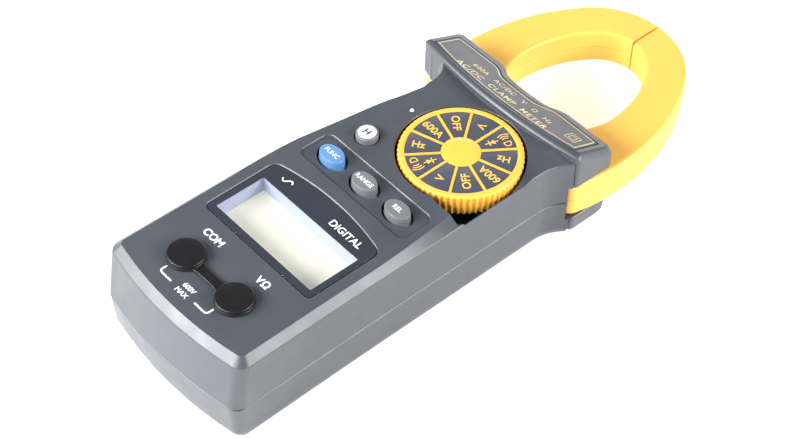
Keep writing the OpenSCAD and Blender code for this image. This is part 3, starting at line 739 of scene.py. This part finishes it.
def build_front_case():
    profile = [
        (PARTING_Z + SEAM, 0.3, 0.3, 0.3, 0),
        (PARTING_Z + SEAM + 0.3, 0, 0, 0, 0),
        (32.4, 2.3, 0.15, 0.05, 0.1),
        (FACE_Z - 0.02, 5.15, 2.75, 1.0, 3.1),
        (FACE_Z, 5.35, 2.95, 1.2, 3.3),
    ]
    piece = make_piece("front_shell", case_skin(profile, (0.12, 0.55, 0.02)), CASE, "case",
                       ["front_case"])
    carve(piece, [guard_skin()], "UNION")
    cavity = grip_outline(4.4, WALL, WALL, 0, CAVITY_TOP)
    band = rounded_box(-23.2, 24.7, 71.6, 84.3, 2.6)
    hollow = [(18, 90.2), (29.3, 90.2), (NECK_X - 0.65, 91.8), (NECK_X - 0.65, 112), (18, 112)]
    ramp = [(18, 89.4), (29.6, 89.4), (NECK_X - 0.3, 91.4), (NECK_X - 0.3, 100), (18, 100)]
    cuts = [
        prism(cavity, PARTING_Z - 1, FACE_Z - WALL),
        jaw_space(0, GUARD_LOW),
        box_mesh(-29, 31, 137, 145, GUARD_LOW - 1, 29),
        flared_cut(lens_outline(0), FACE_Z - 1.8, FACE_Z, 0.35),
        box_mesh(-22.6, 22.6, 38.1, 57.7, FACE_Z - 6, FACE_Z),
        flared_cut(band, FACE_Z - 0.5, FACE_Z, 0.3),
        cylinder_cut(HOLD[0], HOLD[1], 3.95, 25, 40, lip=0.25, z_face=FACE_Z),
        cylinder_cut(DIAL_X, DIAL_Y, DIAL_POCKET_R, DIAL_POCKET_Z, 40, 160, lip=0.3, z_face=FACE_Z),
        cylinder_cut(DIAL_X, DIAL_Y, 5.0, 20, 40),
        prism(hollow, DIAL_POCKET_Z, 50),
        shoulder_cut(),
        skin([at_z(inset(ramp, 0.9), DIAL_POCKET_Z + 2), at_z(inset(ramp, 0.05), 33.6), at_z(ramp, 40)]),
        tilted_cutter(label_outline(0.42), 0.6),
    ]
    for i in (-1, 0, 1):
        hole = pointed_oval(ROW_X + i * BUTTON_PITCH, ROW_Y, 6.25, 4.15)
        cuts.append(prism(hole, 20, 40))
    for x in (-JACK_X, JACK_X):
        cuts.append(cylinder_cut(x, JACK_Y, SOCKET_WELL_R, 10, 50))
    carve(piece, cuts)
    settle_normals(piece)


def tube(outer, inner, z0, z1):
    """Ring between two outlines with the same number of points."""
    n = len(outer)
    verts = at_z(outer, z0) + at_z(outer, z1) + at_z(inner, z1) + at_z(inner, z0)
    faces = [(k * n + i, k * n + (i + 1) % n, (k + 1) % 4 * n + (i + 1) % n, (k + 1) % 4 * n + i)
             for k in range(4) for i in range(n)]
    return verts, faces


def build_parting_lip():
    """Tongue behind the parting line, so that no light comes through the gap."""
    outer, inner = (grip_outline(t, t, t, 0, LIP_TOP) for t in (0.7, 1.9))
    ring = tube(outer, inner, PARTING_Z - 1.5, PARTING_Z + 1.5)
    lip = make_piece("parting_lip", ring, CASE, "case")
    carve(lip, [jaw_space(0, 40)])


def build_rear_case():
    profile = [
        (0.0, 3.9, 3.2, 3.2, 0),
        (0.02, 3.7, 3.0, 3.0, 0),
        (0.75, 2.3, 1.4, 1.4, 0),
        (2.9, 1.15, 0.38, 0.38, 0),
        (PARTING_Z - SEAM - 0.3, 0, 0, 0, 0),
        (PARTING_Z - SEAM, 0.3, 0.3, 0.3, 0),
    ]
    piece = make_piece("rear_shell", case_skin(profile, (0.05, 0.9, 1.5, 0.12)), CASE, "case",
                       ["rear_case"])
    rings = [at_z(guard_outline(front, side, side), z) for front, side, z in (
        (2.7, 3.0, 0.03), (1.5, 1.4, 0.75), (0.6, 0.6, 2.6),
        (0.1, 0.3, REAR_GUARD - 0.3), (0.3, 0.6, REAR_GUARD),
    )]
    carve(piece, [skin(rings)], "UNION")
    cavity = grip_outline(2.8, WALL, WALL, 0, CAVITY_TOP)
    cuts = [
        prism(cavity, WALL, 40),
        jaw_space(REAR_GUARD, 40),
        box_mesh(-14, 14, 43, 95, -1, 3),
        prism(rounded_box(-16, 16, 38, 95.6, 0.8), -1, 1.7),
        cylinder_cut(PIVOT[0], PIVOT[1], 8.8, 6.2, 20),
    ]
    for spot in screw_spots("case_screws") + screw_spots("right_jaw_screws"):
        cuts.append(cylinder_cut(*spot, 3.0, -1, 3.6, 48))
    carve(piece, cuts)
    settle_normals(piece)


def loose_parts(name):
    """Boxes of a CAD node's separate solids, in drawing millimetres."""
    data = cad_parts[name].data
    bm = bmesh.new()
    bm.from_mesh(data)
    bmesh.ops.remove_doubles(bm, verts=bm.verts, dist=1e-6)
    left = set(bm.verts)
    boxes = []
    while left:
        stack = [left.pop()]
        seen = list(stack)
        while stack:
            for edge in stack.pop().link_edges:
                for v in edge.verts:
                    if v in left:
                        left.discard(v)
                        stack.append(v)
                        seen.append(v)
        xs, ys, zs = zip(*((v.co.x / MM, v.co.y / MM + LENGTH / 2, v.co.z / MM) for v in seen))
        boxes.append(((min(xs), min(ys), min(zs)), (max(xs), max(ys), max(zs))))
    bm.free()
    return boxes


def screw_spots(name):
    """Axis positions of the screws in a CAD node."""
    return [((low[0] + high[0]) / 2, (low[1] + high[1]) / 2) for low, high in loose_parts(name)]


# ---- Jaws ----


def jaw_half_shell(outline, z0, z1, outer_low, outer_high):
    """One moulded half of a jaw: a large radius on the outside face, a hairline one at the split."""
    rings = []
    seam = 0.22

    def ring(t, z):
        rings.append(at_z(outline(t, min(t, 0.18)), z))

    if outer_low > 0:
        for s, c in quarter_round(6):
            ring(outer_low * s, z0 + outer_low * c)
        ring(0, z1 - seam)
        ring(seam, z1)
    else:
        ring(seam, z0)
        ring(0, z0 + seam)
        for s, c in quarter_round(6):
            ring(outer_high * c, z1 - outer_high * s)
    return skin(rings)


def lever_outline(t):
    """Arm of the left jaw that carries the thumb lever, in plan."""
    right = [(12, 134.2), (24, 131.6), (25.6, 129.6), (26.4, 126), (26.2, 121), (30.8, 121),
             (32, 128), (33.6, 133.4), (34.4, 136.6), (31, 140), (12, 140)]
    return inset(mirrored(right), t)


def build_jaws():
    edge = 1.5
    low_z = (JAW_Z0, JAW_MID - 0.04)
    high_z = (JAW_MID + 0.04, JAW_Z1)
    for side, outline, body in (("right", right_jaw_outline, "case"), ("left", left_jaw_outline, "left_jaw")):
        top = jaw_half_shell(outline, *high_z, 0, edge)
        bottom = jaw_half_shell(outline, *low_z, edge, 0)
        if side == "left":
            top = joined(top, soft_prism(lever_outline, *high_z, 0.2, 0.9))
            bottom = joined(bottom, soft_prism(lever_outline, *low_z, 0.9, 0.2))
        pieces = [
            make_piece(f"{side}_jaw_shell_{half}", mesh, JAW, body, [f"{side}_jaw_{half}"],
                       angle=40)
            for half, mesh in (("top", top), ("bottom", bottom))
        ]
        for piece in pieces:
            if side == "left":
                cuts = [box_mesh(-6, 1, 199.8, 207, 11, 19), box_mesh(-6, 1, 136.6, 143, 11, 19)]
                pin_r = (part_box("jaw_pivot")[1][0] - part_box("jaw_pivot")[0][0]) / MM / 2
                cuts.append(cylinder_cut(*PIVOT, pin_r + 0.05, JAW_Z0 - 1, JAW_Z1 + 1, 64))
                cuts.append(cylinder_cut(PIVOT[0] - SPRING_LEG, PIVOT[1], 0.6, JAW_Z0 - 1, 9.9, 24))
                if "bottom" in piece.name:
                    cuts += [cylinder_cut(*spot, 2.1, JAW_Z0 - 1, JAW_Z0 + 1.4, 40)
                             for spot in screw_spots("left_jaw_screws")]
                carve(piece, cuts, angle=40)
            settle_normals(piece)


def trigger_outline(t):
    """Thumb lever in plan: a slim pad with a round tip."""
    outer = bezier((-33.9, 132), (-32.4, 122), (-30.6, 111), 14)
    outer = [p for p in outer if p[1] < 120.6]
    tip = arc(-28.5, 109.8, 2.3, 190, 350, 14)
    points = [(-31.0, 120.8)] + outer + tip + [(-26.2, 116), (-26.2, 120.8)]
    return inset(points, t)


def build_trigger():
    pad = soft_prism(trigger_outline, JAW_MID - 6, JAW_MID + 6, 0.8, 0.8)
    bead = [(0.25, JAW_MID - 5), (0.6, JAW_MID - 4.6), (0.6, JAW_MID + 4.6), (0.25, JAW_MID + 5)]
    ribs = [lathe(bead, -30.3 - 2.2 * k * 0.14, 110.5 + 2.2 * k, 20) for k in range(4)]
    piece = make_piece("thumb_lever", joined(pad, *ribs), JAW, "left_jaw", ["jaw_trigger"])
    settle_normals(piece)


# ---- Dial ----


def build_dial():
    n = SCALLOPS * 8
    top = DIAL_TOP
    low = DIAL_POCKET_Z + 0.4

    def ring(r, depth, z):
        out = []
        for i in range(n):
            a = 2 * math.pi * i / n
            rr = r - depth * abs(math.sin(SCALLOPS * a / 2))
            out.append((DIAL_X + rr * math.cos(a), DIAL_Y + rr * math.sin(a), z))
        return out

    rings = [ring(r, d, z) for r, d, z in (
        (8, 0, low), (DIAL_R - 0.15, 0.62, low), (DIAL_R, 0.66, low + 0.2), (DIAL_R, 0.66, low + 1),
        (DIAL_R, 0.66, top - 1.9), (DIAL_R, 0.6, top - 1.3), (DIAL_R - 0.06, 0.4, top - 0.8),
        (DIAL_R - 0.22, 0.16, top - 0.42), (DIAL_R - 0.5, 0.02, top - 0.14), (DIAL_R - 0.95, 0, top),
        (DIAL_LABEL_R + 0.22, 0, top), (DIAL_LABEL_R, 0, top - 0.18), (DIAL_LABEL_R, 0, top - 0.5),
        (DIAL_HUB_R, 0, top - 0.5), (DIAL_HUB_R, 0, top - 0.12), (DIAL_HUB_R - 0.2, 0, top),
        (3, 0, top + 0.03),
    )]
    knob = skin(rings)
    shaft = lathe([(4.95, 25.2), (4.95, low + 0.5)], DIAL_X, DIAL_Y, 48)
    piece = make_piece("dial_grip", joined(knob, shaft), KNOB, "dial", ["dial_knob"], angle=50)
    settle_normals(piece)

    # Dark sectors with a raised spoke between each pair
    sectors = []
    spokes = []
    z0, z1 = top - 0.5, top - 0.16
    for k in range(DIAL_POSITIONS):
        mid = DIAL_STEP * k
        r0, r1, half_spoke = DIAL_HUB_R + 0.05, DIAL_LABEL_R - 0.05, 0.52
        a0 = math.degrees(math.asin(half_spoke / r0))
        a1 = math.degrees(math.asin(half_spoke / r1))
        outline = (arc(DIAL_X, DIAL_Y, r0, mid + 18 - a0, mid - 18 + a0, 10)
                   + arc(DIAL_X, DIAL_Y, r1, mid - 18 + a1, mid + 18 - a1, 16))
        sectors.append(soft_prism(lambda t, pts=outline: inset(pts, t), z0, z1, 0, 0.06, 2))
        bar = [(DIAL_HUB_R - 0.3, -0.42), (DIAL_LABEL_R + 0.3, -0.42),
               (DIAL_LABEL_R + 0.3, 0.42), (DIAL_HUB_R - 0.3, 0.42)]
        spokes.append(placed(prism(bar, 0, 0.46), DIAL_X, DIAL_Y, z0, mid + 18))
    make_piece("dial_sectors", joined(*sectors), DIAL_PRINT, "dial", ["dial_label"])
    make_piece("dial_spokes", joined(*spokes), KNOB, "dial")

    words = []
    ink_z = z1 + INK_LIFT
    marks = {0: "600A", 36: "Hz", 108: "V", 144: "OFF", 180: "600A", 216: "Hz", 288: "V", 324: "OFF"}
    radius = {"600A": 12.6, "Hz": 13.2, "V": 12.9, "OFF": 12.4}
    for angle, label in marks.items():
        a = math.radians(angle)
        r = radius[label]
        mesh = text_mesh(label, 3.7, 1.0, 0.07)
        words.append(placed(mesh, DIAL_X + r * math.cos(a), DIAL_Y + r * math.sin(a), ink_z, angle + 180))
    for angle in (72, 252):
        words += [placed(m, DIAL_X, DIAL_Y, ink_z, angle) for m in buzzer_and_diode()]
    make_piece("dial_marks", joined(*words), DIAL_INK, "dial")


def buzzer_and_diode():
    """Continuity and diode symbols, drawn along +X from the dial's centre."""
    x = 10.4
    diode = [
        ribbon([(x - 2.2, 0), (x + 2.2, 0)], 0.36, 0),
        ([(x + 1.0, -1.0, 0.002), (x + 1.0, 1.0, 0.002), (x - 0.6, 0, 0.002)], [(0, 1, 2)]),
        ribbon([(x - 0.75, -1.15), (x - 0.75, 1.15)], 0.4, 0.002),
    ]
    x = 14.9
    cup = [(x - 1.1, -2.1)] + arc(x, -2.1, 1.1, 180, 360, 12)[1:] + [(x + 1.1, -1.5), (x - 1.1, -1.5)]
    waves = [ribbon(arc(x, -1.6, r, 55, 125, 8), 0.36, 0) for r in (1.7, 2.6, 3.5)]
    return diode + [ribbon(cup, 0.36, 0, closed=True)] + waves


# ---- Display, keys and socket cover ----


def build_display():
    lens = soft_prism(lambda t: lens_outline(0.12 + t), LENS_TOP - 0.24, LENS_TOP, 0.02, 0.12)
    make_piece("lens", lens, CLEAR, "case", ["display_lens"])
    window = rounded_box(-WINDOW[0], WINDOW[0], WINDOW[1], WINDOW[2], 0.4, 2)
    frame_low = prism(lens_outline(0.2), LENS_TOP - 0.6, LENS_TOP - 0.26)
    mask = make_piece("bezel_print", frame_low, BEZEL, "case", ["lens_mask"])
    carve(mask, [prism(window, 30, 40)])
    wall = tube(inset(window, -0.4), inset(window, -0.03), FACE_Z - 2.9, LENS_TOP - 0.62)
    make_piece("window_wall", wall, HOLDER, "case")


def ellipse(cx, cy, a, b, n=16):
    """Ellipse with as many points as a pointed oval, from its left end."""
    turns = [math.pi + math.pi * i / n for i in range(n + 1)] + [math.pi * i / n for i in range(1, n)]
    return [(cx + a * math.cos(t), cy + b * math.sin(t)) for t in turns]


def key_skin(cx, cy, z_low):
    """Key: a pointed foot in the hole, and an oval crown with a round edge and a flat top."""
    foot = pointed_oval(cx, cy, 5.8, 3.7)
    rings = [at_z(foot, z_low), at_z(foot, FACE_Z - 1.3), at_z(inset(foot, 0.1), FACE_Z - 1.2)]
    for a, b, z in (
        (4.9, 3.4, FACE_Z - 1.1), (4.8, 3.32, FACE_Z - 0.9), (4.75, 3.28, 36.3),
        (4.69, 3.22, 36.65), (4.53, 3.06, 36.88), (4.25, 2.8, 36.99),
        (3.3, 2.0, 37.04), (1.8, 1.1, 37.08), (0.4, 0.3, BUTTON_TOP),
    ):
        rings.append(at_z(ellipse(cx, cy, a, b), z))
    return skin(rings)


def build_keys():
    low = KEY_LOW
    for i, name, material, slot, label in (
        (-1, "func", FUNC_KEY, "func_rubber", "FUNC"),
        (0, "range", GREY_KEY, "button_rubber", "RANGE"),
        (1, "rel", GREY_KEY, "button_rubber", "REL"),
    ):
        cx = ROW_X + i * BUTTON_PITCH
        flange = prism(rounded_box(cx - 6.5, cx + 6.5, ROW_Y - 4.6, ROW_Y + 4.6, 1), low, low + 1.2)
        stem = lathe([(STEM_R, STEM_LOW), (STEM_R, low + 0.5)], cx, ROW_Y, 32)
        body = f"{name}_key"
        mesh = joined(key_skin(cx, ROW_Y, low + 1), flange, stem)
        piece = make_piece(f"{name}_cap", mesh, material, body, [f"{name}_button"])
        settle_normals(piece)
        word = placed(text_mesh(label, 2.35, 1.0, 0.05), cx, ROW_Y, BUTTON_TOP + 0.02, stretch=(0.95, 1.0))
        make_piece(f"{name}_mark", word, GREY_INK if name == "func" else WHITE_INK, body)

    cx, cy = HOLD
    sleeve = lathe([(STEM_R, STEM_LOW), (STEM_R, low), (5.2, low), (5.2, low + 1.2),
                    (3.62, low + 1.25), (3.62, 36.3), (3.56, 36.6), (3.38, 36.85), (3.1, 36.95),
                    (2.7, 36.97)], cx, cy, 64)
    piece = make_piece("hold_sleeve", sleeve, GREY_KEY, "hold_key", ["hold_button"], angle=40)
    settle_normals(piece)
    cap = lathe([(2.95, 36.8), (2.95, 37.0), (2.88, 37.08), (2.7, 37.11), (0.4, 37.12)], cx, cy, 64)
    make_piece("hold_face", cap, HOLD_CAP, "hold_key")
    mark = placed(text_mesh("H", 3.2, 1.0, 0.09), cx, cy, 37.14)
    make_piece("hold_mark", mark, BLACK_INK, "hold_key")


def build_socket_cover():
    plug = [(4.45, 31), (4.45, 35.3), (5.85, 35.06), (6.1, 35.25), (6.1, 35.75), (5.95, 35.95),
            (5.85, 36.1), (5.9, 36.3), (5.9, 36.75), (5.75, 37.02), (5.45, 37.15), (4.0, 37.19),
            (0.5, 37.2)]
    parts = [lathe(plug, x, JACK_Y, 96) for x in (-JACK_X, JACK_X)]
    edge = smooth_line([(-8, -2.9), (-6, -2.3), (-3.6, -1.85), (0, -1.75), (3.6, -1.85), (6, -2.3),
                        (8, -2.9)], 5)
    strap = [(x, JACK_Y + y) for x, y in edge] + [(-x, JACK_Y - y) for x, y in edge]
    parts.append(soft_prism(lambda t: inset(strap, t), FACE_Z + 0.05, FACE_Z + 0.85, 0.05, 0.35))
    piece = make_piece("socket_cover", joined(*parts), RUBBER, "terminal_cap", ["terminal_cover"],
                       angle=40)
    settle_normals(piece)


def build_label():
    sheet = soft_prism(lambda t: label_outline(-t), -0.33, 0.06, 0, 0.08, 2)
    plate = make_piece("guard_overlay", sheet, OVERLAY, "case", ["guard_label"], tilt=True)
    settle_normals(plate)
    z = LABEL_INK_Z
    border = ribbon(label_outline(-0.75), 0.3, z, closed=True)
    words = placed(text_mesh("AC/DC  CLAMP  METER", 3.3, 1.12, 0.01), -0.5, 0.25, z, stretch=(1.06, 1))
    units = text_mesh("600A   AC/DC   V   Ω   Hz", 2.9, 1.1, 0.0)
    second = placed(units, 0.5, 4.7, z, stretch=(0.98, 1))
    square = [ribbon([(-s, -s), (s, -s), (s, s), (-s, s)], 0.22, 0, closed=True) for s in (1.05, 2.0)]
    mark = placed(joined(*square), 26.5, 5.8, z)
    make_piece("guard_marks", joined(border, words, second, mark), YELLOW_INK, "case",
               tilt=True)


def build_face_print():
    z = FACE_Z + INK_LIFT
    parts = [
        placed(text_mesh("COM", 3.6, 1.0, 0.11), -12.0, 30.2, z),
        placed(text_mesh("VΩ", 3.5, 1.15, 0.11), 10.9, 30.2, z),
        placed(text_mesh("600V", 2.3, 1.0, 0.06), -1.0, 12.7, z),
        placed(text_mesh("MAX", 2.3, 1.0, 0.06), -1.2, 10.0, z),
    ]
    for s in (-1, 1):
        path = [(10.85, 13.1), (10.85, 11.4)] + arc(9.85, 11.4, 1.0, 0, -90, 6) + [(5.4, 10.4)]
        parts.append(ribbon([(s * x - 1.25, y) for x, y in path], 0.6, z))
    make_piece("face_print", joined(*parts), WHITE_INK, "case")
    bezel_z = LENS_TOP + INK_LIFT
    sine = [(2.1 * t, 0.9 * math.sin(math.pi * t)) for t in (i / 16 for i in range(-16, 17))]
    marks = [
        placed(text_mesh("DIGITAL", 3.5, 1.05, 0.08), 12.2, 60.6, bezel_z),
        placed(ribbon(sine, 0.5, 0), -15.5, 61.2, bezel_z),
    ]
    make_piece("bezel_marks", joined(*marks), WHITE_INK, "case")
    dot = lathe([(0.7, FACE_Z - 0.3), (0.7, FACE_Z + 0.05), (0.58, FACE_Z + 0.28),
                 (0.3, FACE_Z + 0.42), (0.1, FACE_Z + 0.45)], -13.9, 110.1, 32)
    make_piece("index_dot", dot, WHITE_INK, "case", angle=60)


# ---- Back and inside ----


def screw_head(x, y, z0, z1, r):
    """Pan head with its crown down at z0."""
    rise = z1 - z0
    dome = [(0.3, z0), (r * 0.55, z0 + 0.06 * rise), (r * 0.85, z0 + 0.22 * rise),
            (r, z0 + 0.5 * rise), (r, z1)]
    return lathe(dome, x, y, 40)


def build_back():
    panel = rounded_box(-15.8, 15.8, 38.2, 95.4, 0.7)
    door = make_piece("bay_door", soft_prism(lambda t: inset(panel, t), 0.1, 1.6, 0.15, 0),
                      CASE, "case", ["battery_door"])
    recess = rounded_box(-9.5, 9.5, 82.5, 93.5, 1.5)
    arrow = [(0, 80.6), (2.4, 77.4), (-2.4, 77.4)]
    carve(door, [prism(recess, -1, 0.45), prism(arrow[::-1], -1, 0.35), cylinder_cut(0, 40.5, 2.6, -1, 0.8)])
    ribs = []
    for k in range(4):
        y = 84.3 + 2.4 * k
        rib = rounded_box(-8, 8, y, y + 1.1, 0.5)
        ribs.append(soft_prism(lambda t, rib=rib: inset(rib, t), 0.12, 0.6, 0.2, 0))
    make_piece("door_ribs", joined(*ribs), CASE, "case")
    settle_normals(door)

    for name, r, head in (
        ("case_screws", 2.8, 2.0),
        ("right_jaw_screws", 2.8, 2.0),
        ("left_jaw_screws", 1.9, 1.0),
        ("door_screw", 2.4, 0.65),
    ):
        body = "left_jaw" if name == "left_jaw_screws" else "case"
        parts = []
        crosses = []
        for low, high in loose_parts(name):
            x, y = (low[0] + high[0]) / 2, (low[1] + high[1]) / 2
            shank = r * 0.5
            parts.append(screw_head(x, y, low[2], low[2] + head, r))
            parts.append(lathe([(shank, low[2] + head - 0.1), (shank, high[2])], x, y, 24))
            w, reach = r * 0.13, r * 0.58
            depth = head * 0.55
            for dx, dy in ((reach, w), (w, reach)):
                crosses.append(placed(box_mesh(-dx, dx, -dy, dy, -0.5, depth), x, y, low[2], 45))
        piece = make_piece(name.replace("screw", "fixing"), joined(*parts), STEEL, body, [name],
                           angle=40)
        carve(piece, crosses, angle=40)


def dress_inner_nodes():
    """Materials for the CAD nodes that stay as they are."""
    for material, names in (
        (HOLDER, ("lcd_holder", "dial_rotor")),
        (LCD, ("lcd_panel",)),
        (PINK, ("zebra_strips",)),
        (BOARD, ("main_pcb",)),
        (BLACK, ("pcb_parts", "tact_switches", "buzzer", "battery_snap", "hall_sensors")),
        (STEEL, ("pcb_screws", "dial_retainer", "detent_balls", "detent_springs", "jaw_pivot", "jaw_spring")),
        (BRASS, ("dial_wipers", "com_jack", "volt_jack")),
        (CORE, ("left_core", "right_core")),
        (CELL, ("battery",)),
    ):
        for name in names:
            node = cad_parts[name]
            node.data.materials.clear()
            node.data.materials.append(material)


# ---- Floor, light and camera ----


def build_floor():
    data = bpy.data.meshes.new("floor")
    s = FLOOR_HALF
    data.from_pydata([(-s, -s, 0), (s, -s, 0), (s, s, 0), (-s, s, 0)], [], [(0, 1, 2, 3)])
    floor = bpy.data.objects.new("floor", data)
    bpy.context.collection.objects.link(floor)
    mat, _, shader = new_material("floor_white", (0.85, 0.85, 0.85), 0.7, specular=0.1)
    shader.inputs["Emission Color"].default_value = (1, 1, 1, 1)
    shader.inputs["Emission Strength"].default_value = 0.6
    data.materials.append(mat)


def area_light(name, spot, target, size, power, colour=(1, 1, 1)):
    lamp = bpy.data.lights.new(name, "AREA")
    lamp.shape = "RECTANGLE"
    lamp.size, lamp.size_y = size
    lamp.energy = power
    lamp.color = colour
    obj = bpy.data.objects.new(name, lamp)
    obj.location = spot
    obj.rotation_euler = (Vector(target) - Vector(spot)).to_track_quat("-Z", "Y").to_euler()
    bpy.context.collection.objects.link(obj)


def build_lights():
    world = bpy.data.worlds.new("studio")
    bpy.context.scene.world = world
    world.use_nodes = True
    tree = world.node_tree
    back = tree.nodes["Background"]
    coords = tree.nodes.new("ShaderNodeTexCoord")
    split = tree.nodes.new("ShaderNodeSeparateXYZ")
    tree.links.new(coords.outputs["Generated"], split.inputs["Vector"])
    glow = remap(tree, split.outputs["Z"], 0.75, 0.12, 0.15, 0.62)
    tree.links.new(glow, back.inputs["Strength"])
    back.inputs["Color"].default_value = (1.0, 1.0, 1.0, 1)
    area_light("left_softbox", (-0.55, -0.85, 0.52), (0, 0, 0.02), (1.0, 0.45), 15)
    area_light("right_softbox", (0.90, 0.52, 0.52), (0, 0, 0.02), (0.9, 0.42), 18)
    area_light("floor_wash", (-0.10, -0.46, 0.30), (-0.05, -0.22, 0), (0.5, 0.25), 4)
    area_light("far_softbox", (-0.60, 0.75, 0.30), (0, 0.03, 0.02), (0.8, 0.3), 3)


def build_camera():
    """Camera at the pose fitted to the object's outline."""
    az, el, roll = (math.radians(v) for v in (46.734, 47.651, 2.213))
    distance = 0.66834
    target = Vector((-0.00528, 0.09866 - LENGTH * MM / 2, 0))
    back = Vector((math.sin(az) * math.cos(el), -math.cos(az) * math.cos(el), math.sin(el)))
    right = Vector((math.cos(az), math.sin(az), 0))
    up = back.cross(right)
    r2 = right * math.cos(roll) + up * math.sin(roll)
    u2 = up * math.cos(roll) - right * math.sin(roll)
    cam = bpy.data.cameras.new("camera")
    cam.sensor_width = 36
    cam.sensor_fit = "HORIZONTAL"
    cam.lens = 94.06
    cam.clip_start = 0.01
    cam.clip_end = 20
    obj = bpy.data.objects.new("camera", cam)
    turn = Matrix((r2, u2, back)).transposed().to_4x4()
    obj.matrix_world = Matrix.Translation(target + back * distance) @ turn
    bpy.context.collection.objects.link(obj)
    bpy.context.scene.camera = obj


def set_look():
    scene = bpy.context.scene
    scene.view_settings.view_transform = "Standard"
    scene.view_settings.look = "None"
    scene.view_settings.exposure = 0
    scene.view_settings.gamma = 1


build_camera()
build_floor()
build_lights()
set_look()
build_front_case()
build_rear_case()
build_parting_lip()
build_jaws()
build_trigger()
build_dial()
build_display()
build_keys()
build_socket_cover()
build_label()
build_face_print()
build_back()
dress_inner_nodes()
